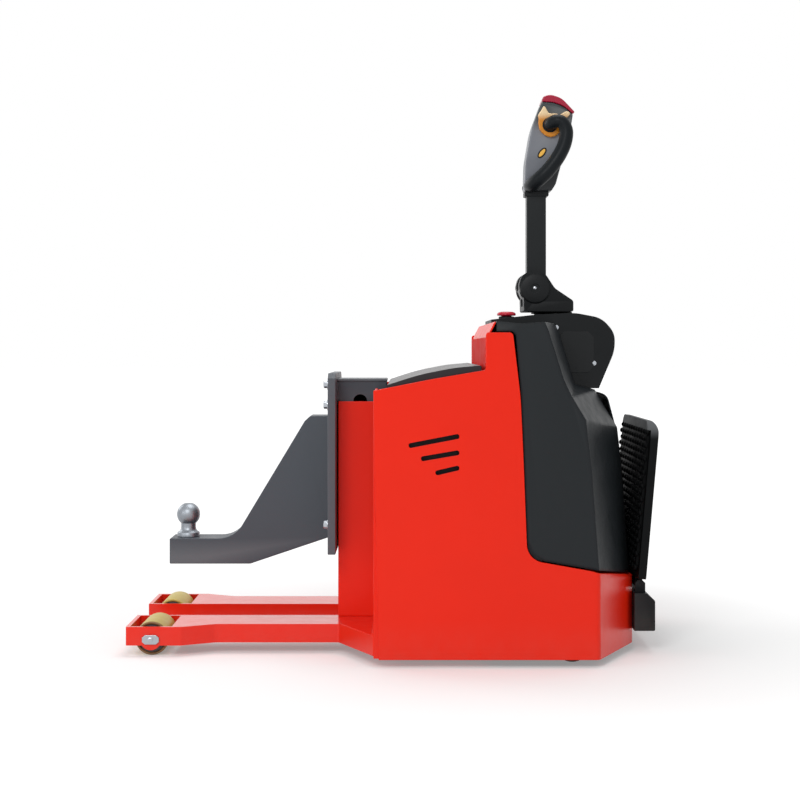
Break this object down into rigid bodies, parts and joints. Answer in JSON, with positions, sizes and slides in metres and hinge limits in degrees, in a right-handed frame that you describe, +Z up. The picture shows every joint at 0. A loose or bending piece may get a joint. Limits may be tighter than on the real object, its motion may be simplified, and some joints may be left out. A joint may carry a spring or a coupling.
{
  "type": "electric tow tractor",
  "caption": "Stand-on electric tow tractor with tiller steering, rear-facing drawbar with tow ball on a hitch plate, straddle legs on rollers and a folding operator platform.",
  "frame": {"origin": "centre of the bounding box in plan, at floor level", "axes": "+Z up, +X towards the operator's platform, +Y to the left across the body"},
  "size_m": [1.2631, 0.82, 1.3594],
  "materials": {
    "red_paint": "gloss orange-red paint",
    "grey_paint": "satin grey paint",
    "chassis_black": "satin black paint",
    "battery_case": "grey coated steel tray",
    "zinc_steel": "zinc-plated steel",
    "cover_plastic": "fine-grained satin plastic",
    "console_plastic": "fine-grained satin plastic",
    "lid_plastic": "glossy dark grey plastic",
    "stop_red": "moulded red plastic",
    "platform_black": "satin black paint",
    "mat_rubber": "studded rubber",
    "cast_iron": "painted casting",
    "drive_tyre": "solid rubber tread",
    "castor_tyre": "dark polyurethane",
    "arm_black": "satin black paint",
    "head_plastic": "satin grey-black plastic",
    "cap_red": "crimson belly switch cap",
    "grip_rubber": "soft black grip",
    "throttle_amber": "amber plastic",
    "roller_tan": "khaki polyurethane"
  },
  "bodies": {
    "chassis": {"side_panel_left": "red_paint", "side_panel_right": "red_paint", "rear_skirt": "red_paint", "front_wall": "red_paint", "dash_fascia": "red_paint", "battery_bay": "red_paint", "battery": "battery_case", "drive_deck": "chassis_black", "front_post": "red_paint", "saddle_box": "grey_paint", "hitch_plate": "grey_paint", "drawbar": "grey_paint", "tow_ball": "zinc_steel", "leg_left": "red_paint", "leg_right": "red_paint", "roller_axles": "zinc_steel", "side_cover_left": "cover_plastic", "side_cover_right": "cover_plastic", "rear_cover": "cover_plastic", "console": "console_plastic", "stop_button": "stop_red", "platform_hinge_block": "chassis_black"},
    "lid": {"battery_lid": "lid_plastic"},
    "steering": {"drive_motor": "cast_iron", "steering_column": "chassis_black", "drive_gearbox": "cast_iron", "tiller_bracket": "console_plastic", "pivot_pin": "zinc_steel"},
    "drive_wheel": {"drive_tyre": "drive_tyre", "drive_hub": "cast_iron"},
    "tiller": {"tiller_arm": "arm_black", "tiller_collar": "console_plastic", "tiller_head": "head_plastic", "head_cap": "cap_red", "tiller_grips": "grip_rubber", "throttle_wings": "throttle_amber"},
    "castor_fork_left": {"castor_fork_left": "zinc_steel"},
    "castor_fork_right": {"castor_fork_right": "zinc_steel"},
    "castor_wheel_left": {"castor_wheel_left": "castor_tyre"},
    "castor_wheel_right": {"castor_wheel_right": "castor_tyre"},
    "load_roller_left": {"load_roller_left": "roller_tan"},
    "load_roller_right": {"load_roller_right": "roller_tan"},
    "platform": {"platform_tray": "platform_black", "platform_mat": "mat_rubber"}
  },
  "joints": [
    {"name": "steering_turn", "type": "hinge", "parent": "chassis", "child": "steering", "pos_m": [0.3725, 0, 0.8], "axis": [0, 0, 1], "range_deg": [-85, 85]},
    {"name": "tiller_tilt", "type": "hinge", "parent": "steering", "child": "tiller", "pos_m": [0.3495, 0, 0.875], "axis": [0, 1, 0], "range_deg": [0, 72]},
    {"name": "drive_wheel_spin", "type": "hinge", "parent": "steering", "child": "drive_wheel", "pos_m": [0.3725, 0, 0.115], "axis": [0, 1, 0], "continuous": true},
    {"name": "platform_fold", "type": "hinge", "parent": "chassis", "child": "platform", "pos_m": [0.591, 0, 0.16], "axis": [0, 1, 0], "range_deg": [0, 85]},
    {"name": "lid_open", "type": "hinge", "parent": "chassis", "child": "lid", "pos_m": [0.199, 0, 0.682], "axis": [0, 1, 0], "range_deg": [0, 70]},
    {"name": "castor_swivel_right", "type": "hinge", "parent": "chassis", "child": "castor_fork_right", "pos_m": [0.382, -0.318, 0.1], "axis": [0, 0, 1], "continuous": true},
    {"name": "castor_spin_right", "type": "hinge", "parent": "castor_fork_right", "child": "castor_wheel_right", "pos_m": [0.415, -0.318, 0.045], "axis": [0, 1, 0], "continuous": true},
    {"name": "load_roller_spin_right", "type": "hinge", "parent": "chassis", "child": "load_roller_right", "pos_m": [-0.5725, -0.179, 0.04], "axis": [0, 1, 0], "continuous": true},
    {"name": "castor_swivel_left", "type": "hinge", "parent": "chassis", "child": "castor_fork_left", "pos_m": [0.382, 0.318, 0.1], "axis": [0, 0, 1], "continuous": true},
    {"name": "castor_spin_left", "type": "hinge", "parent": "castor_fork_left", "child": "castor_wheel_left", "pos_m": [0.415, 0.318, 0.045], "axis": [0, 1, 0], "continuous": true},
    {"name": "load_roller_spin_left", "type": "hinge", "parent": "chassis", "child": "load_roller_left", "pos_m": [-0.5725, 0.179, 0.04], "axis": [0, 1, 0], "continuous": true}
  ]
}
